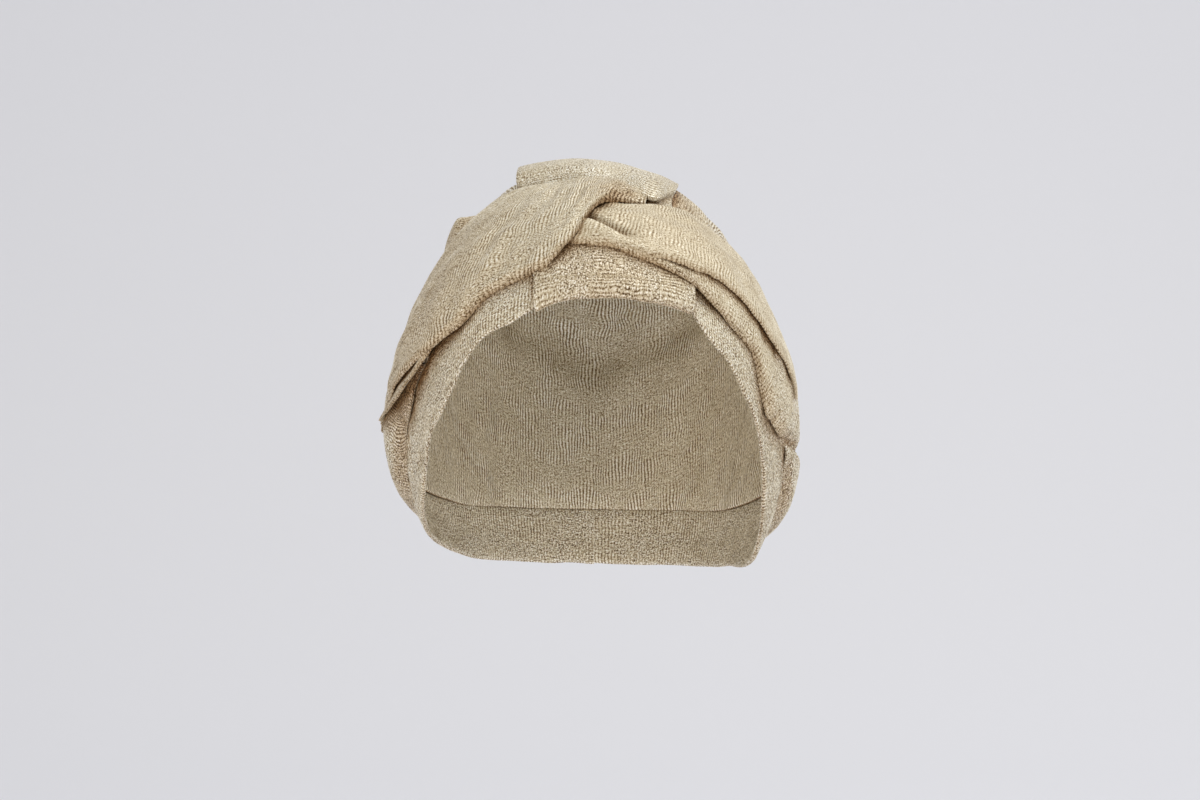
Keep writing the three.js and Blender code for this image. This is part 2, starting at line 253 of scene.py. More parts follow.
# a closed sheet: rows round its section, columns along its length, four columns to a rib
def sheetOf(place, strip, ring=False):
    width = strip["widthMm"]
    fine = np.linspace(0, 1, layout["steps"])
    lines = [place(fine, np.full(fine.shape, v))[0] for v in layout["measuredAt"]]
    steps = np.mean([np.linalg.norm(np.diff(line, axis=0), axis=1) for line in lines], axis=0)
    run = np.concatenate([[0], np.cumsum(steps)])
    perRib = knit["columnsPerRib"]
    count = perRib * round(run[-1] / strip.get("ribPitch", knit["ribPitch"]))
    even = np.linspace(0, run[-1], count + 1)
    columns = np.interp(even[:-1] if ring else even, run, fine)

    def rowsAt(v):
        spread = v[None, :] * width * layout["wobbleStretch"]
        wobble = waves(columns[:, None] * run[-1], spread, layout["wobble"], strip["seed"] + 2)
        ends = 1 if ring else np.minimum(columns, 1 - columns)[:, None]
        lean = strip.get("lean", 0) * width * (v[None, :] - 0.5) * smoothstep(ends, 0, layout["leanEnds"])
        wobble = strip["ribWobble"] * wobble * smoothstep(ends, 0, layout["calmEnds"])
        along = columns[:, None] + (lean + wobble) / run[-1]
        return place(along, np.broadcast_to(v, along.shape))

    turns = np.pi * np.arange(1, layout["rimParts"]) / layout["rimParts"]
    cosines, sines = np.cos(turns)[:, None], np.sin(turns)[:, None]

    def rim(v, inward):
        middle, side = rowsAt(np.array([v]))
        beside = rowsAt(np.array([inward]))[0]
        edge = unitOf(middle - beside) * np.linalg.norm(side, axis=-1, keepdims=True)
        return middle, side * cosines, edge * sines

    shares = np.linspace(0, 1, strip["outerRows"])  # closer together at the edges
    shares = shares - strip.get("edgeRows", 0) * np.sin(math.tau * shares) / math.tau
    middle, side = rowsAt(shares)
    outer = middle + side
    middle, side = rowsAt(np.linspace(1, 0, strip["innerRows"]))
    inner = middle - side
    middle, side, edge = rim(1.0, 1 - layout["rimStep"])
    upRim = middle + side + edge
    middle, side, edge = rim(0.0, layout["rimStep"])
    lowRim = middle - side + edge
    points = np.concatenate([outer, upRim, inner, lowRim], axis=1)

    across = np.linalg.norm(np.diff(np.concatenate([points, points[:, :1]], axis=1), axis=1), axis=2)
    across = np.concatenate([np.zeros((len(points), 1)), np.cumsum(across, axis=1)], axis=1)
    across = across - across[:, strip["outerRows"] // 2][:, None]
    # painted shade along the turned-under low edge, strongest at the edge and gone after the given mm
    reach, edgeShade = strip.get("edgeShade", (1.0, 0.0))  # mm from the low edge, and the share there
    turned = edgeShade * np.clip(1 - shares * width / reach, 0, 1) ** layout["edgeShadePower"]
    plain = np.zeros(points.shape[1] - len(turned) - len(turns))
    return {
        "points": points, "across": across, "ribs": np.arange(count + 1) / perRib, "ring": ring,
        "turned": np.concatenate([turned, plain, np.full(len(turns), edgeShade)]),
        "grit": strip.get("grit", 1.0), "ribbing": strip.get("ribbing", 1.0),
    }


def meshOf(name, sheets):
    corners, faces, mapped = [], [], []
    marks = {"ribPhase": [], "paintedShadeAndLight": [], "grit": [], "ribbing": []}
    start = 0
    for order, sheet in enumerate(sheets):
        points, across = sheet["points"], sheet["across"] / knit["stitchLength"]
        ribs = sheet["ribs"] + layout["ribsApart"] * order
        count, around = points.shape[:2]
        spans = count if sheet["ring"] else count - 1
        i, j = np.meshgrid(np.arange(spans), np.arange(around), indexing="ij")
        square = [(i, j), (i + 1, j), (i + 1, j + 1), (i, j + 1)]
        quads = np.stack([m % count * around + n % around for m, n in square], -1)
        uv = np.stack([np.stack([ribs[m], across[m % count, n]], -1) for m, n in square], -2)
        faces += (quads.reshape(-1, 4) + start).tolist()
        mapped.append(uv.reshape(-1, 2))
        if not sheet["ring"]:
            ends = [list(range(around))[::-1], list(range((count - 1) * around, count * around))]
            for end, column in zip(ends, (0, count - 1)):
                faces.append([start + k for k in end])
                up = across[column, [k % around for k in end]]
                mapped.append(np.stack([np.full(around, ribs[column]), up], -1))
        corners.append(points.reshape(-1, 3) * mm)
        marks["ribPhase"].append(np.repeat(ribs[:count], around))
        # the painted shade of the turned-under edges starts the painted shade mark
        marks["paintedShadeAndLight"].append(np.tile(sheet["turned"], count))
        for title in ("grit", "ribbing"):
            marks[title].append(np.full(count * around, sheet[title]))
        start += count * around
    corners = np.concatenate(corners)
    a, b, c = (corners[[f[k] for f in faces]] for k in range(3))
    mapped = np.concatenate(mapped)
    if (a * np.cross(b, c)).sum() < 0:  # turn the sheet right side out
        sizes = [len(f) for f in faces]
        starts = np.cumsum([0] + sizes[:-1])
        order = np.concatenate([np.arange(s, s + n)[::-1] for s, n in zip(starts, sizes)])
        faces = [f[::-1] for f in faces]
        mapped = mapped[order]
    mesh = bpy.data.meshes.new(name)
    mesh.from_pydata(corners.tolist(), [], faces)
    mesh.uv_layers.new(name="knitMap").uv.foreach_set("vector", mapped.astype(np.float32).ravel())
    for title, values in marks.items():
        mark = mesh.attributes.new(title, "FLOAT", "POINT")
        mark.data.foreach_set("value", np.concatenate(values).astype(np.float32))
    mesh.polygons.foreach_set("use_smooth", [True] * len(mesh.polygons))
    mesh.update()
    return mesh


# node trees: a socket that takes plain maths, and one way to add any node
class Wire:
    def __init__(self, net, socket):
        self.net, self.socket = net, socket

    def maths(self, operation, a, b=0.0):
        return self.net.add("ShaderNodeMath", {0: a, 1: b}, operation=operation)

    def __add__(self, other):
        return self.maths("ADD", self, other)

    __radd__ = __add__

    def __sub__(self, other):
        return self.maths("SUBTRACT", self, other)

    def __rsub__(self, other):
        return self.maths("SUBTRACT", other, self)

    def __mul__(self, other):
        return self.maths("MULTIPLY", self, other)

    __rmul__ = __mul__

    def __rtruediv__(self, other):
        return self.maths("DIVIDE", other, self)

    def floor(self):
        return self.maths("FLOOR", self)

    def cosine(self):
        return self.maths("COSINE", self)


class Net:
    def __init__(self, tree):
        self.tree = tree

    def add(self, kind, sockets=None, output=0, stops=None, **settings):
        made = self.tree.nodes.new(kind)
        for name, value in settings.items():
            setattr(made, name, value)
        if stops:
            ramp = made.color_ramp
            while len(ramp.elements) < len(stops):
                ramp.elements.new(1.0)
            for element, (at, colour) in zip(ramp.elements, stops):
                element.position, element.color = at, colour
        for name, value in (sockets or {}).items():
            if isinstance(value, Wire):
                self.tree.links.new(value.socket, made.inputs[name])
            else:
                made.inputs[name].default_value = value
        return Wire(self, made.outputs[output]) if len(made.outputs) else made

    def blend(self, share, a, b, kind="MIX"):  # two colours
        return self.add("ShaderNodeMix", {0: share, 6: a, 7: b}, 2, data_type="RGBA", blend_type=kind)

    def bump(self, look, height):
        sockets = {"Strength": look["bumpStrength"], "Distance": look["bumpDepth"], "Height": height}
        return self.add("ShaderNodeBump", sockets)

    def surface(self, sockets):
        shader = self.add("ShaderNodeBsdfPrincipled", sockets)
        self.add("ShaderNodeOutputMaterial", {0: shader})


def paint(red, green, blue):  # a screen colour as light
    line = [(c / 255 + 0.055) / 1.055 for c in (red, green, blue)]
    return (*(x ** 2.4 for x in line), 1.0)


def newMaterial(name):
    material = bpy.data.materials.new(name)
    material.use_nodes = True
    material.node_tree.nodes.clear()
    return material, Net(material.node_tree)


glitterLook = {
    "tones": [  # from the holes of the knit to the metallic yarn
        (0.0, paint(76, 55, 30)),
        (0.25, paint(140, 119, 87)),
        (0.5, paint(205, 193, 166)),
        (0.75, paint(228, 220, 199)),
        (1.0, paint(255, 254, 248)),
    ],
    "middleTone": 0.53,
    "grainScale": 1.2, "grain": 1.75, "grainPlain": 1.2, "grainCalm": 0.5,  # calmer where ribs show
    "stitches": 0.6, "stitchShuffle": 5.37,
    "ribs": 0.5, "ribPatch": 0.07, "patchFrom": 0.38, "patchTo": 0.62, "faintRibs": 0.15,
    "broadScale": 60.0, "broad": 0.16,  # slow changes of tone
    # painted shade in creases, under turned edges and in shade spots: how much it darkens the tone, and its
    # warm brown tint
    "paintedShadeTone": 0.3, "paintedShadeTint": (0.66, 0.46, 0.3, 1.0),
    "stray": 0.9, "strayScale": 0.16,  # how far the ribs wander, in ribs
    "roughness": 0.52, "metallic": 0.16, "specular": 0.25,
    "glintFrom": 0.72, "glintTo": 0.95, "glintMetal": 0.4, "glintPolish": 0.15,
    "bumpStrength": 0.5, "bumpDepth": 0.0003,
}


def glitterKnit(look):
    material, net = newMaterial("glitterKnit")

    def noise(vector, scale, detail, flat="2D", output=0, **more):
        sockets = {"Vector": vector, "Scale": scale, "Detail": detail, **more}
        return net.add("ShaderNodeTexNoise", sockets, output, noise_dimensions=flat)

    def vectors(operation, sockets):
        return net.add("ShaderNodeVectorMath", sockets, operation=operation)

    def mark(name):
        return net.add("ShaderNodeAttribute", output=2, attribute_name=name)

    knitMap = net.add("ShaderNodeUVMap", uv_map="knitMap")
    wander = vectors("SUBTRACT", {0: noise(knitMap, look["strayScale"], 2.0, output=1), 1: (0.5, 0.5, 0.5)})
    laid = vectors("ADD", {0: knitMap, 1: vectors("SCALE", {0: wander, "Scale": look["stray"]})})
    rib, row = (net.add("ShaderNodeSeparateXYZ", {0: laid}, k) for k in (0, 1))
    ridge = (rib * math.tau).cosine()
    own = net.add("ShaderNodeCombineXYZ", {0: (rib + 0.5).floor() * look["stitchShuffle"], 1: row})
    stitch = noise(own, look["grainScale"], 1.0)
    square = vectors("MULTIPLY", {0: laid, 1: (knit["ribPitch"] / knit["stitchLength"], 1, 1)})
    grain = noise(square, look["grainScale"], 2.0, Roughness=0.75)
    patch = noise(knitMap, look["ribPatch"], 2.0)
    ribbed = net.add("ShaderNodeMapRange", {0: patch, 1: look["patchFrom"], 2: look["patchTo"]})
    broad = noise(net.add("ShaderNodeTexCoord", output=3), look["broadScale"], 3.0, "3D", Roughness=0.6)
    ribShare = look["ribs"] * mark("ribbing") * (look["faintRibs"] + (1 - look["faintRibs"]) * ribbed)
    grainShare = look["grain"] * (look["grainPlain"] - look["grainCalm"] * ribbed)
    speck = grainShare * (grain - 0.5) + look["stitches"] * (stitch - 0.5)
    # painted shade and light: the mark darkens the tone and tints it warm brown; a negative mark lightens
    # the tone
    paintedShadeAndLight = mark("paintedShadeAndLight")
    tone = look["middleTone"] + mark("grit") * speck + 0.5 * ribShare * ridge
    tone = tone + look["broad"] * (broad - 0.5) - look["paintedShadeTone"] * paintedShadeAndLight
    colour = net.add("ShaderNodeValToRGB", {0: tone}, stops=look["tones"])
    shade = net.blend(paintedShadeAndLight, (1, 1, 1, 1), look["paintedShadeTint"])
    colour = net.blend(1.0, colour, shade, "MULTIPLY")
    glint = net.add("ShaderNodeMapRange", {0: tone, 1: look["glintFrom"], 2: look["glintTo"]})
    net.surface({
        "Base Color": colour,
        "Metallic": look["metallic"] + look["glintMetal"] * glint,
        "Roughness": look["roughness"] - look["glintPolish"] * glint,
        "Specular IOR Level": look["specular"],
        "Normal": net.bump(look, tone),
    })
    return material


threadLook = {
    "pale": paint(214, 200, 168), "deep": paint(150, 128, 94), "twistScale": 1500.0,
    "roughness": 0.6, "roughTwist": 0.2, "bumpStrength": 0.4, "bumpDepth": 0.0001,
}


def hemThread(look):
    material, net = newMaterial("hemThread")
    place = net.add("ShaderNodeTexCoord", output=3)
    twist = net.add("ShaderNodeTexNoise", {"Vector": place, "Scale": look["twistScale"], "Detail": 1.0})
    net.surface({
        "Base Color": net.blend(twist, look["deep"], look["pale"]),
        "Roughness": look["roughness"] + look["roughTwist"] * twist,
        "Normal": net.bump(look, twist),
    })
    return material


knitMaterial = glitterKnit(glitterLook)
threadMaterial = hemThread(threadLook)
print("materials made")


# geometry trees
def newTree(name, floats, whole=()):
    tree = bpy.data.node_groups.new(name, "GeometryNodeTree")
    tree.interface.new_socket("Geometry", in_out="INPUT", socket_type="NodeSocketGeometry")
    tree.interface.new_socket("Geometry", in_out="OUTPUT", socket_type="NodeSocketGeometry")
    for title in (*floats, *whole, "Material"):
        kind = "Float" if title in floats else "Int" if title in whole else title
        tree.interface.new_socket(title, in_out="INPUT", socket_type="NodeSocket" + kind)
    net = Net(tree)
    entry = tree.nodes.new("NodeGroupInput")
    given = {socket.name: Wire(net, socket) for socket in entry.outputs if socket.name}
    return net, given


def endTree(net, geometry, material):
    whole = net.add("GeometryNodeRealizeInstances", {0: geometry})
    dressed = net.add("GeometryNodeSetMaterial", {"Geometry": whole, "Material": material})
    leave = net.tree.nodes.new("NodeGroupOutput")
    net.tree.links.new(dressed.socket, leave.inputs[0])
    return net.tree


def knitRibs():
    net, given = newTree("knitRibs", ("Rib Height", "Unevenness", "Patch Size", "Seed"))
    phase = net.add("GeometryNodeInputNamedAttribute", {"Name": "ribPhase"}, data_type="FLOAT")
    wave = (phase * math.tau).cosine()
    spread = {"W": given["Seed"], "Scale": 1 / given["Patch Size"], "Detail": 1.0}
    patch = net.add("ShaderNodeTexNoise", spread, noise_dimensions="4D")
    height = wave * given["Rib Height"] * (1 - given["Unevenness"] + 2 * given["Unevenness"] * patch)
    normal = net.add("GeometryNodeInputNormal")
    offset = net.add("ShaderNodeVectorMath", {0: normal, "Scale": height}, operation="SCALE")
    moved = net.add("GeometryNodeSetPosition", {"Geometry": given["Geometry"], "Offset": offset})
    return endTree(net, moved, given["Material"])


def hemStitches():
    net, given = newTree("hemStitches", ("Spacing", "Length", "Thickness", "Tilt"), ("Seed",))
    line = net.add("GeometryNodeMeshToCurve", {0: given["Geometry"]})
    spots = net.add("GeometryNodeResampleCurve", {"Curve": line, "Length": given["Spacing"]}, mode="LENGTH")
    bead = net.add("GeometryNodeMeshUVSphere", {"Segments": 6, "Rings": 5, "Radius": 0.5})
    soft = net.add("GeometryNodeSetShadeSmooth", {0: bead})
    tangent = net.add("GeometryNodeInputTangent")
    heading = net.add("FunctionNodeAlignRotationToVector", {"Vector": tangent}, axis="Z")
    reach = {"Min": -1.0, "Max": 1.0, "Seed": given["Seed"]}
    sway = net.add("FunctionNodeRandomValue", reach, 1, data_type="FLOAT")
    lean = net.add("ShaderNodeCombineXYZ", {0: sway * given["Tilt"], 1: sway * given["Tilt"]})
    leant = net.add("FunctionNodeEulerToRotation", {0: lean})
    turned = net.add("FunctionNodeRotateRotation", {0: heading, 1: leant}, rotation_space="LOCAL")
    thick = given["Thickness"]
    size = net.add("ShaderNodeCombineXYZ", {0: thick, 1: thick, 2: given["Length"]})
    sewn = {"Points": spots, "Instance": soft, "Rotation": turned, "Scale": size}
    made = net.add("GeometryNodeInstanceOnPoints", sewn)
    return endTree(net, made, given["Material"])


def throughTree(obj, tree, values):
    modifier = obj.modifiers.new(tree.name, "NODES")
    modifier.node_group = tree
    for item in tree.interface.items_tree:
        if item.in_out == "INPUT" and item.name in values:
            modifier[item.identifier] = values[item.name]
    made = bpy.data.meshes.new_from_object(obj.evaluated_get(bpy.context.evaluated_depsgraph_get()))
    old = obj.data
    obj.modifiers.clear()
    obj.data = made
    made.name = obj.name
    bpy.data.meshes.remove(old)
    return obj


ribTree, stitchTree = knitRibs(), hemStitches()
clothPieces = []


def linked(name, data):
    obj = bpy.data.objects.new(name, data)
    scene.collection.objects.link(obj)
    return obj


def clothObject(name, sheets, node, ribHeight=knit["ribHeight"]):
    obj = linked(name, meshOf(name, sheets))
    throughTree(obj, ribTree, {
        "Rib Height": ribHeight * mm,
        "Unevenness": knit["ribUnevenness"],
        "Patch Size": knit["patchSize"] * mm,
        "Seed": float(knit["seed"]),
        "Material": knitMaterial,
    })
    obj.data.attributes.remove(obj.data.attributes["ribPhase"])
    clothPieces.append(obj)
    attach(obj, "root")
    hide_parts(node)
    print(name, len(obj.data.polygons), "faces")
    return obj


def stitchLine(name, line, values):
    mesh = bpy.data.meshes.new(name)
    mesh.from_pydata((line * mm).tolist(), [(k, k + 1) for k in range(len(line) - 1)], [])
    obj = linked(name, mesh)
    sizes = {title: values[title.lower()] * mm for title in ("Spacing", "Length", "Thickness")}
    throughTree(obj, stitchTree, {
        **sizes,
        "Tilt": values["tilt"],
        "Seed": values["seed"],
        "Material": threadMaterial,
    })
    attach(obj, "root")
    print(name, len(obj.data.polygons), "faces")
    return obj


# brow band: a folded strip right round, from the nape
browBand = {
    "rows": columnsOf("lowAz lowEl upAz upEl lowLift midLift upLift", [
        (-180, -28.5, -180, -20, 1.9, 1.9, 1.9),
        (-150, -28, -150, -19.5, 1.9, 1.9, 1.9),
        (-120, -25.8, -120, -18, 1.9, 2.4, 2.6),
        (-92, -21.2, -92, -12.5, 2, 5.2, 7.4),
        (-73, -15, -75, -3.5, 2, 3.7, 4.7),
        (-61, -6.8, -62, 6, 2, 2.5, 2.8),
        (-47, 0.4, -49, 16.4, 2.4, 2.5, 2.6),
        (-41, 7.8, -43, 20.5, 2.6, 2.6, 2.6),
        (-35, 13.2, -36.5, 25.5, 3, 3, 3),
        (-26, 16.6, -27, 30, 3.4, 3.4, 3.4),
        (-17, 21.4, -18, 34.5, 3.6, 3.6, 3.6),
        (-7, 25.6, -7, 38.5, 3.6, 3.6, 3.6),
        (7, 26, 7, 39, 3.6, 3.6, 3.6),
        (20, 25, 20, 37.5, 3.6, 3.6, 3.6),
        (30.5, 22.2, 31, 33.5, 3.6, 3.6, 3.6),
        (36.5, 14, 38, 28.5, 3.2, 3.2, 3.2),
        (45.5, 6.6, 47.5, 21, 2.6, 2.7, 2.8),
        (52, -0.2, 54, 14.5, 2.4, 2.8, 3),
        (64, -6.5, 65, 5.5, 2, 3.4, 4.2),
        (76, -16, 77, -5, 2, 5.2, 7.4),
        (92, -25.5, 92, -13, 2, 5.8, 8.6),
        (120, -28, 120, -19, 1.9, 2.6, 3),
        (150, -28.5, 150, -20, 1.9, 1.9, 1.9),
    ]),
    "strip": {
        "thickness": 2.2, "lengthMm": 560, "widthMm": 22, "outerRows": 14, "innerRows": 8, "edgeRows": 0.5,
        "edgeWave": 0.35, "unevenness": 0.25, "ribWobble": 0.0, "creases": 0.2, "seed": 41, "grit": 1.6,
        "folds": [
            fold(1.5, -0.8, (-76, -5.5), (-77.5, -10), (-78.5, -14)),
            fold(1.6, -1.2, (-84, -12), (-86, -16), (-87.5, -19)),
            fold(1.6, -1.4, (-65, -9.6), (-69, -10.8), (-74, -11.8), (-81, -13.5)),
            fold(1.6, -0.7, (74, -7), (77, -11), (79, -15)),
        ],
    },
    # painted light on the low sides of the band, where the shares are negative
    "shadeAndLightSpots": [(-80, -15, 15, -0.06), (82, -16, 15, -0.06)],  # azimuth, elevation, spread, share
    "flat": (0.032, 0.57),
}
bandPlace = wallOf(panelOf(browBand["rows"], True), browBand["strip"])
bandCloth = clothObject("brow_band_knit", [sheetOf(bandPlace, browBand["strip"], True)], "brow_band")

# centre loop: holds the band from behind, turns under it, runs up the brow and ends in a roll on top
centreLoop = {
    "rows": columnsOf("pitch skew drop shift halfWidth leftLift midLift rightLift", [
        (36, 0, 0, 8, 30, 1, 1, 1),
        (29, 0, 0.8, 8.5, 31, 1, 1, 1),
        (25, 0, 2.2, 9, 31, 1.1, 1.1, 1.1),
        (23.4, 0, 3, 9, 31, 3.6, 3.6, 3.6),
        (25, 0, 2.2, 9, 31, 6.1, 6.1, 6.1),
        (29, 0, 0.8, 9, 31, 6.2, 6.2, 6.2),
        (39.5, 0, 0, 8.5, 31, 6.2, 6.2, 6.2),
        (46, 0, 0, 7, 30, 4.4, 4.4, 4.4),
        (53, 2, 0, 6, 29, 3.8, 3.8, 3.8),
        (60, 5, 0, 5, 28, 3.8, 3.8, 3.8),
        (67, 7, 0, 4, 28, 4, 4, 4),
        (71.5, 7, 0, 1.2, 30.8, 7.5, 7, 7),
        (76, 6, 0, 2.2, 30.8, 12, 9.6, 9.2),
        (84, 4, 0, 3, 30.5, 14, 10.2, 9.2),
        (94, 2, 0, 3, 30, 13.5, 10.2, 9.2),
        (106, 0, 0, 3, 30, 12, 10, 10),
        (119, 0, 0, 3, 29, 10.4, 9.8, 9.6),
        (132, 0, 0, 3, 28, 9, 9, 8.8),
    ]),
    "rightDrop": 0.4,
    "strip": {
        "thickness": 1.8, "lengthMm": 230, "widthMm": 62, "outerRows": 30, "innerRows": 14, "ribWobble": 0.9,
        "seed": 61, "grit": 1.35, "ribbing": 0.75,
    },
    "wave": {"height": 0.35, "length": 20, "from": 0.08, "full": 0.16}, "ribHeight": 0.02,
    "slopeAlong": 0.004, "slopeAcross": 0.01,  # steps that the wall's slope is taken over
    "browRow": 5, "browFrom": 20,  # where it lies on the band
    # painted shade on the loop beneath the twist, and painted light on the roll on top where the share is
    # negative
    "shadeAndLightSpots": [(5, 33, 22, 0.2), (0, 86, 22, -0.22)],
    "lip": {
        "at": 11.6, "dip": 9.5, "dipRows": 0.9, "dipAt": 0.68, "dipWidth": 0.36,
        "raise": 9.0, "raiseRows": 2.2, "raiseFrom": 0.72,
        "tuckAt": 0.34, "tuckWidth": 0.24, "tuckDepth": 3.2,
    },
    "hem": {
        "spacing": 1.9, "length": 1.5, "thickness": 0.34, "tilt": 0.25, "seed": 5,
        "along": 0.285, "lift": 0.2, "from": 0.03, "to": 0.97, "points": 90,
    },
    "flat": (0.062, 0.25),
}


def loopMiddle(along, v):
    rows, lip = centreLoop["rows"], centreLoop["lip"]
    at = {name: columnAt(values, along) for name, values in rows.items()}
    away = along * (len(rows["pitch"]) - 1) - lip["at"]
    side = 2 * v - 1

    def bump(where, width, reach):
        return np.exp(-(((side - where) / width) ** 2) - (away / reach) ** 2)

    raised = smoothstep(side, lip["raiseFrom"], 1) * np.exp(-((away / lip["raiseRows"]) ** 2))
    hang = lip["dip"] * bump(lip["dipAt"], lip["dipWidth"], lip["dipRows"]) - lip["raise"] * raised
    corner = side ** 4 * np.where(side > 0, centreLoop["rightDrop"], 1)
    turn = (at["shift"] + side * at["halfWidth"]) / halfWidth
    tilt = np.radians(at["pitch"] - at["skew"] * side - at["drop"] * corner - hang)
    way = np.stack([np.sin(turn), -np.cos(turn) * np.cos(tilt), np.cos(turn) * np.sin(tilt)], -1)
    tuck = lip["tuckDepth"] * bump(lip["tuckAt"], lip["tuckWidth"], lip["dipRows"])
    return onForm(way, parabola(at["leftLift"], at["midLift"], at["rightLift"], v) - tuck)


def loopPlace(along, v):
    strip, wave = centreLoop["strip"], centreLoop["wave"]
    step, aside = centreLoop["slopeAlong"], centreLoop["slopeAcross"]
    forward = loopMiddle(np.minimum(along + step, 1), v) - loopMiddle(np.maximum(along - step, 0), v)
    sideways = loopMiddle(along, v + aside) - loopMiddle(along, v - aside)
    normal = unitOf(np.cross(sideways, forward))
    bulge = waves(along * strip["lengthMm"], v * strip["widthMm"], wave["length"], strip["seed"] + 3)
    bulge = wave["height"] * bulge * smoothstep(along, wave["from"], wave["full"])
    return loopMiddle(along, v) + normal * bulge[..., None], normal * strip["thickness"] / 2


loopSheet = sheetOf(loopPlace, centreLoop["strip"])
loopCloth = clothObject("centre_loop_knit", [loopSheet], "centre_loop", centreLoop["ribHeight"])
hem = centreLoop["hem"]
across = np.linspace(hem["from"], hem["to"], hem["points"])
hemMiddle, hemSide = loopPlace(np.full(across.shape, hem["along"]), across)
loopHem = stitchLine("centre_loop_hem", hemMiddle + hemSide * (1 + hem["lift"]), hem)


# how far the band and the loop stand out, beneath the drapes' edges
def restTop(way):
    azimuth, elevation = anglesOf(way)
    unit = unitOf(way)
    rows, loop, brow = browBand["rows"], centreLoop["rows"], centreLoop["browRow"]
    names = ("lowEl", "lowLift", "midLift", "upLift")
    lowEl, *lifts = (np.interp(azimuth, rows["lowAz"], rows[k], period=360) for k in names)
    upEl = np.interp(azimuth, rows["upAz"], rows["upEl"], period=360)
    share = np.clip((elevation - lowEl) / (upEl - lowEl), 0, 1)
    band = parabola(*lifts, share) + browBand["strip"]["thickness"] / 2
    spread = np.abs(np.arcsin(unit[..., 0]) * halfWidth - loop["shift"][brow])
    onLoop = (spread < loop["halfWidth"][brow]) & (elevation > centreLoop["browFrom"]) & (unit[..., 1] < 0)
    return np.where(onLoop, loop["midLift"][brow] + centreLoop["strip"]["thickness"] / 2, band)


# over drape: from the nape round the -X side, across the brow on top and tucked in past the middle
overDrape = {
    "rows": columnsOf("lowAz lowEl upAz upEl lowLift midLift upLift", [
        (-179.8, -20, -179.8, -6, 4.8, 7, 4.8),
        (-150, -18, -150, 6, 6, 9, 5.8),
        (-120, -11, -125, 30, 9, 8.6, 7.4),
        (-95, -3.2, -100, 51, 12.2, 6.2, 6.6),
        (-76, -0.4, -77, 62, 12.2, 5.8, 5.8),
        (-56, 8, -61, 64.5, 9.2, 7.2, 5.8),
        (-44, 15.4, -48, 65, 7.5, 8, 6),
        (-35, 23.6, -38, 65.5, 7, 8, 6),
        (-26, 27.4, -28, 66, 7.2, 8.5, 6),
        (-18, 29.6, -18, 66.7, 9.4, 9.8, 6.5),
        (-12, 33, -8, 67.5, 11.5, 11.5, 6.8),
        (-6, 39, 2, 67.5, 12.2, 12.2, 7.2),
        (-1, 46.5, 11, 67, 12.4, 11.6, 7.5),
        (5, 51.5, 19, 65, 11.4, 10.8, 7.2),
        (14, 53.8, 25, 62.6, 7.6, 8.8, 6.5),
        (27, 54.2, 34, 60.5, 6.4, 7, 6.2),
    ]),
    "panel": {
        "thickness": 2.2, "lengthMm": 330, "widthMm": 80, "outerRows": 56, "innerRows": 8, "edgeRows": 0.75,
        "turnIn": {"reach": 5.0, "at": [0, 0.33, 0.42, 0.6, 0.7, 1], "depth": [0.3, 0.3, 2.4, 3, 1.4, 1]},
        # painted shade along the turned-under low edge: mm from the edge, and its share
        "edgeShade": (5.0, 0.25),
        "endSink": 1.2, "edgeWave": 0.7, "unevenness": 0.55, "ribWobble": 1.1, "creases": 0.45, "seed": 21,
        "folds": [
            fold(9, -1.1, (-22, 50), (-45, 45), (-70, 34), (-88, 20)),
            fold(6, 0.8, (-28, 36), (-45, 26), (-62, 18)),
            fold(6.5, 5.0, (-116, 34), (-106, 41), (-98, 46.5), (-93, 50)),
        ],
    },
    "pleat": {
        "rootAt": 0.12, "rootSink": 1.5,
        "rows": columnsOf("at lowAz lowEl lowLift midLift", [
            (1.2, -144, -19.5, 6, 6.5),
            (2, -119, -14.5, 11, 8.5),
            (3, -96, -7, 15.4, 9),
            (3.5, -85, -4.6, 16.8, 8.2),
            (4, -76, -3.2, 14.4, 7.8),
            (4.5, -65, 0, 11.6, 7),
            (5, -57, 6.8, 8.2, 7),
            (5.6, -50, 14.5, 6.2, 6),
        ]),
        "thickness": 2.2, "lengthMm": 150, "widthMm": 22, "outerRows": 18, "innerRows": 6, "edgeRows": 0.6,
        # painted shade along the turned-under low edge: mm from the edge, and its share
        "turnIn": {"reach": 4.0, "at": [0, 1], "depth": [0.3, 0.3]}, "edgeShade": (3.5, 0.3),
        "edgeWave": 0.6, "unevenness": 0.3, "ribWobble": 0.8, "creases": 0.25, "seed": 22,
    },
    "tail": {
        "rootAt": 0.06, "rootSink": 0.9,
        "rows": columnsOf("at lowAz lowEl lowLift midLift", [
            (0, -179.8, -26, 4.8, 5.4),
            (1, -150, -25.5, 5, 6.5),
            (2, -122, -23.5, 5, 7.4),
            (2.7, -104, -21.6, 7.2, 12.4),
            (3.4, -88, -15, 9.8, 14.2),
            (4, -76.5, -6.4, 7.6, 9),
            (4.3, -70.5, -3.2, 6.6, 7.6),
            (4.6, -66, 0.8, 5.7, 6.6),
            (5, -61, 6, 5, 5.4),
        ]),
        "thickness": 2.2, "lengthMm": 190, "widthMm": 36, "outerRows": 20, "innerRows": 6,
        "edgeWave": 0.5, "unevenness": 0.5, "ribWobble": 0.9, "creases": 0.4, "seed": 23,
        "lean": -0.8, "grit": 1.5, "ribbing": 1.3,
        "thinned": [("low", 0.8, 0.64)],
    },
    # painted shade on the left side and in the twist, painted light on the low left tail where the share is
    # negative
    "shadeAndLightSpots": [(-66, 22, 28, 0.15), (14, 54, 7, 0.35), (-92, -13, 14, -0.12)],
    "flat": (0.12, 0.36),
}


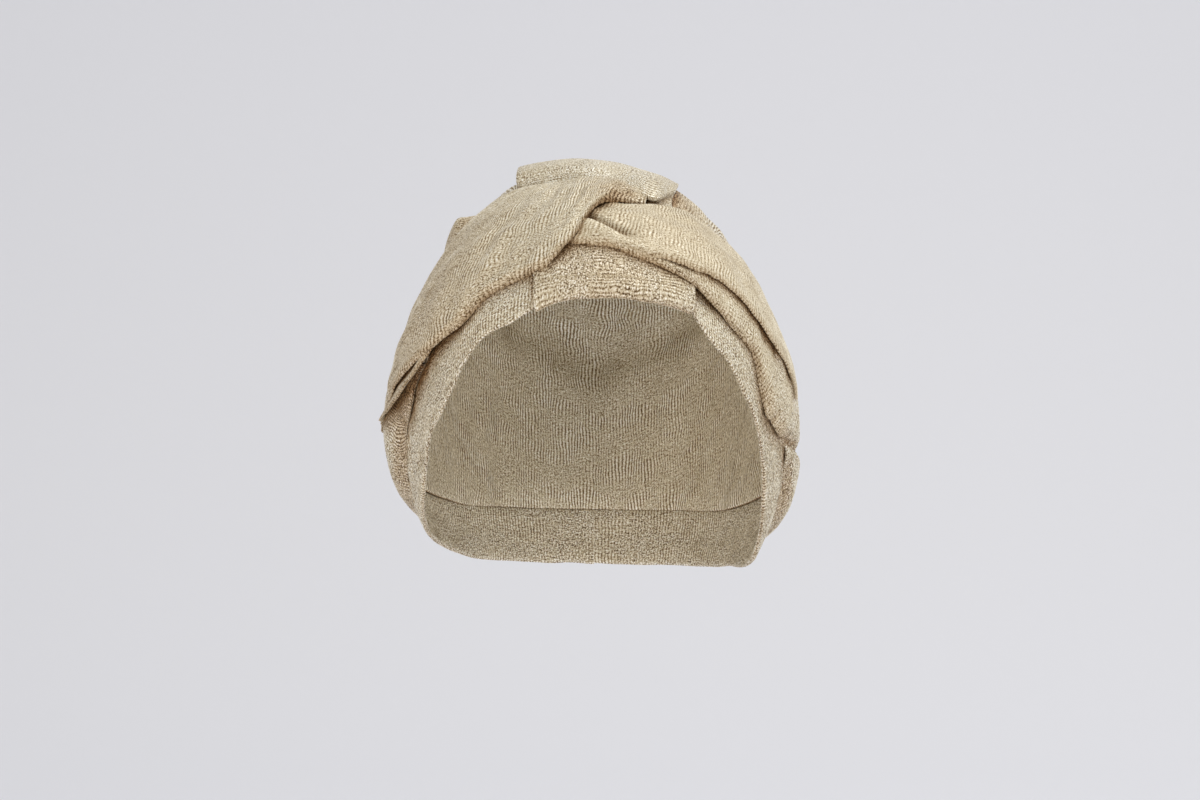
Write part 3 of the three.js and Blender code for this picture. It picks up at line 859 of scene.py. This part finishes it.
def drapeSheets(drape):
    host = panelOf(drape["rows"])
    sheets = [sheetOf(wallOf(host, drape["panel"]), drape["panel"])]
    for kind in ("pleat", "tail"):
        strip = drape[kind]
        surface = pleatOf(host, drape["rows"], strip["rows"], strip["rootAt"], strip["rootSink"])
        sheets.append(sheetOf(wallOf(surface, strip), strip))
    return sheets


overCloth = clothObject("over_drape_knit", drapeSheets(overDrape), "over_drape")

# under drape: from beneath the over drape at the brow, round the +X side to the nape
underDrape = {
    "rows": columnsOf("lowAz lowEl upAz upEl lowLift midLift upLift", [
        (-14, 37.5, -8, 51.5, 8.6, 8, 6.6),
        (-4, 37.6, 4, 53, 9, 8.8, 6.8),
        (7, 36.2, 16, 52.4, 9.4, 8.8, 6.8),
        (17, 33.4, 28, 52.4, 10.6, 9, 7),
        (28.5, 30.6, 41, 51.8, 11, 9.2, 6.8),
        (38.5, 27.8, 53, 49.4, 10.6, 9, 6),
        (48, 23.6, 64, 46, 10.2, 7.4, 4.6),
        (55, 17, 75, 43.5, 10.4, 6, 4),
        (63, 10, 86, 38.5, 11, 5.6, 3.8),
        (72, 3.2, 97, 33, 12, 6, 4),
        (84, -3.6, 110, 24, 12.2, 7.4, 4.4),
        (104, -10, 128, 14, 10, 9.6, 4.8),
        (130, -16, 148, 4, 7.5, 9.5, 5),
        (155, -19, 165, -3, 5.6, 8.5, 5),
        (179.8, -20, 179.8, -6, 4.8, 7, 4.8),
    ]),
    "panel": {
        "thickness": 2.2, "lengthMm": 300, "widthMm": 45, "outerRows": 44, "innerRows": 9, "edgeRows": 0.6,
        "turnIn": {"reach": 4.0, "at": [0, 0.2, 0.3, 1], "depth": [1.4, 1.4, 0.2, 0.2]},
        # painted shade along the turned-under low edge: mm from the edge, and its share
        "edgeShade": (3.0, 0.25),
        "edgeWave": 0.6, "unevenness": 0.4, "ribWobble": 1.1, "creases": 0.4, "seed": 31,
        "grit": 0.7, "ribbing": 0.8,
        "thinned": [("up", 0.34, 0.5)],
        "folds": [
            fold(1.7, -3.0, (-4, 46.8), (2, 44.6), (7, 42), (12, 39.6), (17, 37), fadeIn=0.1, fadeOut=0.4),
            fold(3.4, 2.0, (-6, 43.2), (1, 41.6), (7, 39.4), (14, 36.6), fadeIn=0.2, fadeOut=0.5),
            fold(5, -0.7, (18, 50), (36, 46), (54, 40), (70, 30)),
            fold(4, 0.6, (14, 46), (34, 42), (50, 36)),
        ],
    },
    "pleat": {
        "rootAt": 0.18, "rootSink": 0.9,
        "rows": columnsOf("at lowAz lowEl lowLift midLift", [
            (2.2, 9.5, 35.4, 8.8, 8.8),
            (3, 18, 32.4, 8.6, 8.6),
            (3.6, 25, 29.8, 9.1, 8.8),
            (4.4, 32, 26.4, 9.2, 8.8),
            (5, 37.5, 23, 8, 8),
            (6, 46.5, 16.2, 7, 7.4),
            (7, 55, 9.2, 7.4, 7.4),
            (7.5, 58.5, 2, 7.9, 7.7),
            (8, 62, -2.5, 8.8, 8.4),
            (8.5, 66.5, -5, 10.4, 9.4),
            (9, 72, -6.6, 11.8, 10),
            (10, 87, -7.2, 12.4, 10),
            (11, 106, -13, 10.5, 8.8),
            (12.4, 140, -20.5, 6, 6.8),
        ]),
        "thickness": 2.2, "lengthMm": 230, "widthMm": 22, "outerRows": 18, "innerRows": 6, "edgeRows": 0.6,
        "turnIn": {"reach": 6.0, "at": [0, 0.3, 0.45, 0.8, 0.9, 1], "depth": [1, 1.2, 3.5, 4.5, 3, 0]},
        # painted shade along the turned-under low edge: mm from the edge, and its share
        "edgeShade": (3.0, 0.25),
        "edgeWave": 0.5, "unevenness": 0.3, "ribWobble": 0.8, "creases": 0.25, "seed": 32,
        "grit": 1.1, "ribbing": 0.5,
    },
    "tail": {
        "rootAt": 0.08, "rootSink": 0.9,
        "rows": columnsOf("at lowAz lowEl lowLift midLift", [
            (8, 63.5, 0.5, 6.6, 7.4),
            (9, 75.5, -6, 9.7, 10.4),
            (9.6, 83, -12, 10, 12),
            (10.2, 92, -20.4, 10.4, 14),
            (11, 108, -25, 8.8, 12.6),
            (12, 130, -25.8, 5.6, 8),
            (13, 156, -26, 5.2, 6.2),
            (14, 179.8, -26, 5, 5.4),
        ]),
        "thickness": 2.2, "lengthMm": 170, "widthMm": 32, "outerRows": 18, "innerRows": 6,
        "edgeWave": 0.5, "unevenness": 0.5, "ribWobble": 0.9, "creases": 0.4, "seed": 33,
        "lean": 0.8, "grit": 1.5, "ribbing": 1.3,
        "thinned": [("low", 0.18, 0.34)],
        "folds": [
            fold(2.2, -3.4, (70, -6.8), (78, -7.6), (86, -8.4), (92, -9.8), (99, -12.5)),
        ],
    },
    # painted shade high on the right of the panel, painted light on the low right tail where the share is
    # negative
    "shadeAndLightSpots": [(36, 42, 24, 0.1), (92, -14, 14, -0.08)],
    "flat": (0.11, 0.33),
}
underCloth = clothObject("under_drape_knit", drapeSheets(underDrape), "under_drape")

# crown: a bowl of single knit from the band's upper edge to the top, puffed where it shows
crown = {
    "puffs": columnsOf("azimuth edge puff", [
        (-180, -6, 5),
        (-150, 6, 6),
        (-125, 30, 8),
        (-100, 51, 7.5),
        (-77, 62, 4.6),
        (-55, 66, 4.2),
        (0, 69, 5.4),
        (25, 68, 4.6),
        (40, 58, 4.8),
        (52, 50, 4.8),
        (64, 46, 4.2),
        (86, 38.5, 3.6),
        (110, 24, 4.4),
        (128, 14, 5),
        (148, 4, 5.5),
        (180, -6, 5),
    ]),
    "rimGap": 0.9, "rimStart": 1, "rimBlend": 14, "flareFrom": 3.0, "liftUnder": 1.4,
    "puffStart": 5, "puffFull": 14, "topPuff": 6, "topFrom": 57, "topTo": 82,
    "gathers": 8, "gatherDepth": 0.9, "backFrom": 100, "backTo": 140, "gatherFull": 20, "gatherTop": 50,
    "rimSteps": 2000, "sideReach": 0.9965, "leastRing": 0.2, "leastSlice": 0.2,
    # painted shade on the crown beside the roll's right end
    "shadeAndLightSpots": [(46, 57, 13, 0.45)],
    "strip": {
        "thickness": 1.8, "lengthMm": 250, "widthMm": 260, "outerRows": 92, "innerRows": 44, "ribPitch": 1.5,
        "edgeWave": 0.0, "unevenness": 0.45, "ribWobble": 1.0, "creases": 0.3, "seed": 51, "ribbing": 1.4,
        "folds": [
            fold(5, 1.3, (128, 62), (140, 40), (150, 22), (158, 8)),
            fold(5, 1.3, (-140, 66), (-146, 44), (-152, 26), (-158, 12)),
            fold(6, -1.4, (176, 60), (-178, 40), (-176, 20), (-174, 4)),
            fold(6, -1.0, (104, 66), (112, 52), (122, 36)),
        ],
    },
    "flat": (0.25, 0.26),
}


def crownLift(way):
    azimuth, elevation = anglesOf(way)
    puffs, band = crown["puffs"], browBand["rows"]
    edge = np.interp(azimuth, puffs["azimuth"], puffs["edge"])
    shown = smoothstep(elevation, edge + crown["puffStart"], edge + crown["puffFull"])
    back = smoothstep(np.abs(azimuth), crown["backFrom"], crown["backTo"])
    low = 1 - smoothstep(elevation, crown["gatherFull"], crown["gatherTop"])
    gather = crown["gatherDepth"] * np.cos(crown["gathers"] * np.radians(azimuth)) * back * low
    nearTop = smoothstep(elevation, crown["topFrom"], crown["topTo"])
    puff = np.interp(azimuth, puffs["azimuth"], puffs["puff"])
    puff = puff + (crown["topPuff"] - puff) * nearTop
    bandEl, bandLift = (np.interp(azimuth, band["upAz"], band[k], period=360) for k in ("upEl", "upLift"))
    atRim = 1 - smoothstep(elevation, bandEl + crown["rimStart"], bandEl + crown["rimBlend"])
    flare = atRim * np.maximum(0, bandLift - crown["flareFrom"])
    return crown["liftUnder"] + shown * (puff + gather) + flare


# slices that run from the front rim over the top to the back rim
def crownSurface():
    rows = browBand["rows"]
    share = np.linspace(0, 1, crown["rimSteps"], endpoint=False)
    rim = unitOf(smoothThrough(wayOf(rows["upAz"], rows["upEl"]), share, True))
    angle = np.degrees(np.arctan2(rim[:, 2], -rim[:, 1]))
    left, right = rim[:, 0].argmin(), rim[:, 0].argmax()
    onward = np.roll(np.arange(len(rim)), -left)
    cut = int(np.where(onward == right)[0][0])
    front, back = onward[: cut + 1], np.append(onward[cut:], left)[::-1]
    backAngle = np.where(angle[back] < 0, angle[back] + 360, angle[back])
    low, high = (math.asin(rim[k, 0] * crown["sideReach"]) for k in (left, right))

    def surface(along, v):
        x = np.sin(low + (high - low) * along)
        ring = np.sqrt(1 - x * x)
        gap = np.degrees(crown["rimGap"] / (meanRadius * np.maximum(ring, crown["leastRing"])))
        start = np.interp(x, rim[front, 0], angle[front]) + gap
        end = np.interp(x, rim[back, 0], backAngle) - gap
        middle = (start + end) / 2
        start = np.minimum(start, middle - crown["leastSlice"])
        end = np.maximum(end, middle + crown["leastSlice"])
        swing = np.radians(start + (end - start) * v)
        way = np.stack([x + 0 * v, -ring * np.cos(swing), ring * np.sin(swing)], -1)
        return way, crownLift(way)

    return surface


crownSheet = sheetOf(wallOf(crownSurface(), crown["strip"]), crown["strip"])
crownCloth = clothObject("crown_knit", [crownSheet], "crown")

# painted shade: how far each place lies below the cloth round it, 0 to 1, darkening and browning the colour
# in creases and hollows
hollows = {
    "cell": 0.5, "lowest": -40, "narrowest": 0.15, "outward": -0.2,
    "radii": (1.0, 2.0, 3.2), "directions": 12, "ease": 0.6,
}


def valuesOf(held, name, size):
    values = np.empty(len(held) * size)
    held.foreach_get(name, values)
    return values.reshape(-1, size) if size > 1 else values


def pointsOf(obj):  # mm from the middle of the form
    return valuesOf(obj.data.vertices, "co", 3) / mm + (0, 0, rise)


def paintCreaseShade(pieces, values):
    cell, lowest = values["cell"], values["lowest"]
    across, up = round(360 / cell), round((90 - lowest) / cell) + 1
    tops = np.zeros((across, up))

    def cellOf(azimuth, elevation):
        turn = np.floor(azimuth / cell).astype(int) % across
        return turn, np.clip((elevation - lowest) / cell, 0, up - 1).astype(int)

    found = []
    for obj in pieces:
        point = pointsOf(obj)
        tall = np.where(point[:, 2] > 0, rise, drop)
        share = point / np.stack([0 * tall + halfWidth, 0 * tall + halfLength, tall], -1)
        normal = valuesOf(obj.data.vertex_normals, "vector", 3)
        azimuth, elevation = anglesOf(share)
        height = (np.linalg.norm(share, axis=-1) - 1) * halfWidth
        np.maximum.at(tops, cellOf(azimuth, elevation), height)
        shown = (normal * unitOf(share)).sum(-1) > values["outward"]
        found.append((obj, azimuth, elevation, height, shown))
    for obj, azimuth, elevation, height, shown in found:
        narrow = np.maximum(np.cos(np.radians(elevation)), values["narrowest"])
        total = np.zeros(len(height))
        for k in range(values["directions"]):
            turn = math.tau * k / values["directions"]
            steepest = np.zeros(len(height))
            for radius in values["radii"]:
                step = math.degrees(radius / meanRadius)
                spot = cellOf(azimuth + step * math.cos(turn) / narrow, elevation + step * math.sin(turn))
                slope = (tops[spot] - height - values["ease"]) / radius
                steepest = np.maximum(steepest, np.clip(slope, 0, 1))
            total += steepest / values["directions"]
        mark = obj.data.attributes["paintedShadeAndLight"].data
        turned = valuesOf(mark, "value", 1)
        # painted crease shade, kept where the painted shade of a turned edge is stronger
        mark.foreach_set("value", np.maximum(np.where(shown, total, 0), turned).astype(np.float32))


# paints shade onto a round spot of the cloth; a negative share paints light instead
def paintSpotShadeAndLight(obj, azimuth, elevation, spread, share):
    unit = unitOf(pointsOf(obj) / (halfWidth, halfLength, rise))
    off = np.degrees(np.arccos(np.clip(unit @ wayOf(azimuth, elevation), -1, 1)))
    mark = obj.data.attributes["paintedShadeAndLight"].data
    shaded = valuesOf(mark, "value", 1) + share * np.exp(-((off / spread) ** 2))
    mark.foreach_set("value", np.minimum(shaded, 1).astype(np.float32))


paintCreaseShade(clothPieces, hollows)
# painted shade and painted light spots on each piece
for cloth, piece in zip(clothPieces, (browBand, centreLoop, overDrape, underDrape, crown)):
    for spot in piece["shadeAndLightSpots"]:
        paintSpotShadeAndLight(cloth, *spot)
print("hollows marked")

# a pale seamless floor that sweeps up behind
studio = {
    "floorHeight": -0.42, "front": -3.0, "back": 1.9, "bend": 0.9, "bendSteps": 12,
    "halfWidth": 4.0, "wallTop": 3.0,
    "floorColour": (0.785, 0.795, 0.845, 1.0), "floorRoughness": 0.9, "floorSpecular": 0.1,
    "worldColour": (1.0, 0.985, 0.955, 1.0), "worldStrength": 0.69,
    "aim": (0, 0, -0.08),
    "lamps": [  # name, place, size, watts, colour
        ("keySoftbox", (0.75, -0.1, 1.45), 1.3, 17.5, (1.0, 0.99, 0.96)),
        ("leftFill", (-0.5, -0.6, -0.26), 0.35, 1.2, (1.0, 0.82, 0.6)),
        ("rightFill", (0.55, -0.5, -0.26), 0.35, 0.9, (1.0, 0.92, 0.8)),
        ("lowFill", (0.05, -0.62, -0.3), 0.3, 0.15, (1.0, 0.92, 0.8)),
    ],
}


def sweep(values):
    profile = [(values["front"], values["floorHeight"])]
    for k in range(values["bendSteps"] + 1):
        a = math.radians(90 * k / values["bendSteps"])
        profile.append((
            values["back"] - values["bend"] + values["bend"] * math.sin(a),
            values["floorHeight"] + values["bend"] * (1 - math.cos(a)),
        ))
    profile.append((values["back"], values["wallTop"]))
    points = [(side * values["halfWidth"], y, z) for y, z in profile for side in (-1, 1)]
    faces = [(2 * k, 2 * k + 1, 2 * k + 3, 2 * k + 2) for k in range(len(profile) - 1)]
    mesh = bpy.data.meshes.new("studio_sweep")
    mesh.from_pydata(points, [], faces)
    mesh.polygons.foreach_set("use_smooth", [True] * len(faces))
    obj = linked("studio_sweep", mesh)
    material, net = newMaterial("paleFloor")
    net.surface({
        "Base Color": values["floorColour"],
        "Roughness": values["floorRoughness"],
        "Specular IOR Level": values["floorSpecular"],
    })
    mesh.materials.append(material)


sweep(studio)
world = bpy.data.worlds.new("studioWorld")
world.use_nodes = True
sky = world.node_tree.nodes["Background"].inputs
sky["Color"].default_value = studio["worldColour"]
sky["Strength"].default_value = studio["worldStrength"]
scene.world = world
for name, place, size, watts, colour in studio["lamps"]:
    lamp = bpy.data.lights.new(name, "AREA")
    lamp.energy, lamp.size, lamp.color = watts, size, colour
    obj = linked(name, lamp)
    x, y, z = (a - b for a, b in zip(studio["aim"], place))
    obj.location = place
    obj.rotation_euler = (math.atan2(math.hypot(x, y), -z), 0, math.atan2(y, x) - math.pi / 2)

view = {"at": (0.003, -1.2, -0.094), "lens": 81.82, "sensor": 36.0}
lens = bpy.data.cameras.new("frontCamera")
lens.lens, lens.sensor_width = view["lens"], view["sensor"]
camera = linked("frontCamera", lens)
camera.location, camera.rotation_euler = view["at"], (math.pi / 2, 0, 0)
scene.camera = camera
print("studio set")
